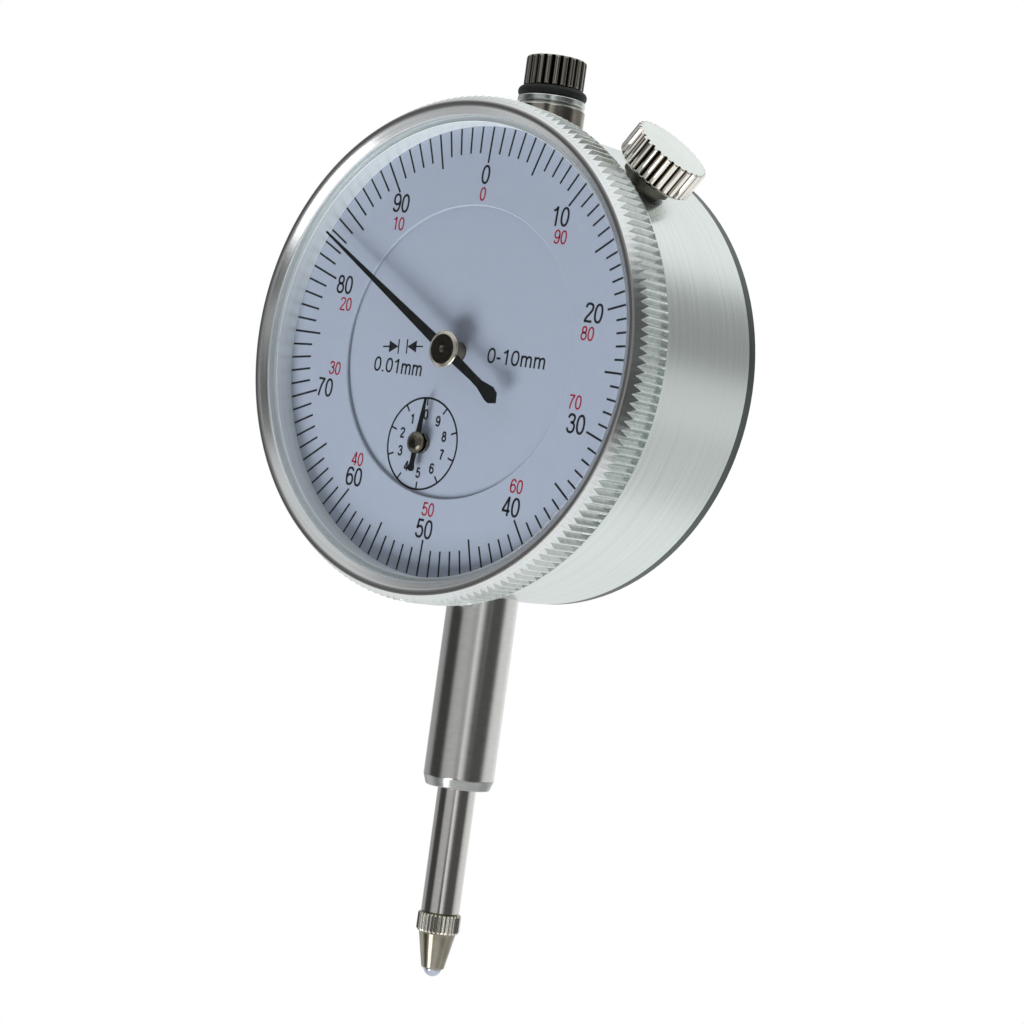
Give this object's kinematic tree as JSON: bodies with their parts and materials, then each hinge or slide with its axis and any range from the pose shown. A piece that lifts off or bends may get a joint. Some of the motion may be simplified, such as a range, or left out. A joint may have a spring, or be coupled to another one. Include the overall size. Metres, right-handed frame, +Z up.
{
  "type": "dial indicator",
  "caption": "Plunger dial indicator with knurled rotating bezel, two-zone dial, small turn counter, side bezel clamp, clamping stem and ball contact point.",
  "frame": {"origin": "on the spindle's axis, at the middle of the stem's 20.3 mm clamping length", "axes": "+Z up along the spindle towards the lifting cap; the dial faces -Y; +X to the right seen from the front"},
  "size_m": [0.0558, 0.0235, 0.1043],
  "materials": {
    "case_metal": "satin turned",
    "cover": "dark satin",
    "ground_steel": "ground",
    "hardened_steel": "polished",
    "nickel": "bright nickel plate",
    "rubber": "matt",
    "brass": "fine brushed",
    "screw_steel": "satin",
    "spring_steel": "satin",
    "jewel": "polished",
    "dial": "satin blue-grey lacquer with printed scale",
    "pointer": "black lacquer",
    "clear": "clear polished"
  },
  "bodies": {
    "root": {"case": "case_metal", "back_cover": "cover", "cover_screws": "screw_steel", "stem": "ground_steel", "lower_guide_bush": "brass", "upper_guide_bush": "nickel", "top_washer": "nickel", "dial_plate": "brass", "dial_plate_pillars": "brass", "dial_plate_screws": "screw_steel", "rear_plate": "brass", "rear_plate_pillars": "brass", "rear_plate_screws": "screw_steel", "arbor_bushes": "jewel", "guide_plate": "screw_steel", "spring_anchor": "screw_steel", "return_spring": "spring_steel", "hairspring": "spring_steel", "hairspring_stud": "brass", "inner_dial": "dial", "bezel_snap_wire": "spring_steel", "clamp_bush": "nickel", "clamp_shoe": "brass"},
    "spindle": {"spindle": "ground_steel", "guide_pin": "screw_steel", "lifting_cap": "nickel", "rubber_ring": "rubber", "contact_point": "ground_steel", "contact_ball": "hardened_steel"},
    "rack_arbor": {"rack_arbor": "screw_steel", "rack_wheel": "brass", "small_pointer": "pointer", "small_pointer_hub": "nickel"},
    "centre_arbor": {"centre_arbor": "screw_steel", "main_pointer": "pointer", "main_pointer_hub": "nickel"},
    "hairspring_arbor": {"hairspring_arbor": "screw_steel", "hairspring_wheel": "brass", "hairspring_collet": "brass"},
    "bezel": {"bezel": "case_metal", "crystal": "clear", "outer_dial": "dial", "dial_retaining_ring": "screw_steel"},
    "clamp_knob": {"clamp_knob": "nickel"}
  },
  "joints": [
    {"name": "spindle_slide", "type": "slide", "parent": "root", "child": "spindle", "axis": [0, 0, 1], "range_m": [0, 0.0103], "stiffness_N_per_m": 50, "springref_m": -0.014, "deforming": ["return_spring"]},
    {"name": "rack_arbor_turn", "type": "hinge", "parent": "root", "child": "rack_arbor", "pos_m": [-0.00345, -0.0024, 0.02627], "axis": [0, -1, 0], "range_deg": [0, 372]},
    {"name": "centre_arbor_turn", "type": "hinge", "parent": "root", "child": "centre_arbor", "pos_m": [0, -0.0064, 0.03665], "axis": [0, -1, 0], "range_deg": [-3720, 0]},
    {"name": "hairspring_arbor_turn", "type": "hinge", "parent": "root", "child": "hairspring_arbor", "pos_m": [0.00948, -0.0064, 0.04212], "axis": [0, -1, 0], "range_deg": [0, 372]},
    {"name": "bezel_turn", "type": "hinge", "parent": "root", "child": "bezel", "pos_m": [0, -0.0074, 0.03665], "axis": [0, -1, 0], "continuous": true},
    {"name": "clamp_turn", "type": "hinge", "parent": "root", "child": "clamp_knob", "pos_m": [0.01807, -0.00316, 0.05804], "axis": [0.6455, 0, 0.7638], "range_deg": [0, 270]}
  ],
  "couplings": [
    {"joint": "rack_arbor_turn", "follows": "spindle_slide", "rad_per_m": 628.32},
    {"joint": "centre_arbor_turn", "follows": "spindle_slide", "rad_per_m": -6283.2},
    {"joint": "hairspring_arbor_turn", "follows": "spindle_slide", "rad_per_m": 628.32}
  ]
}
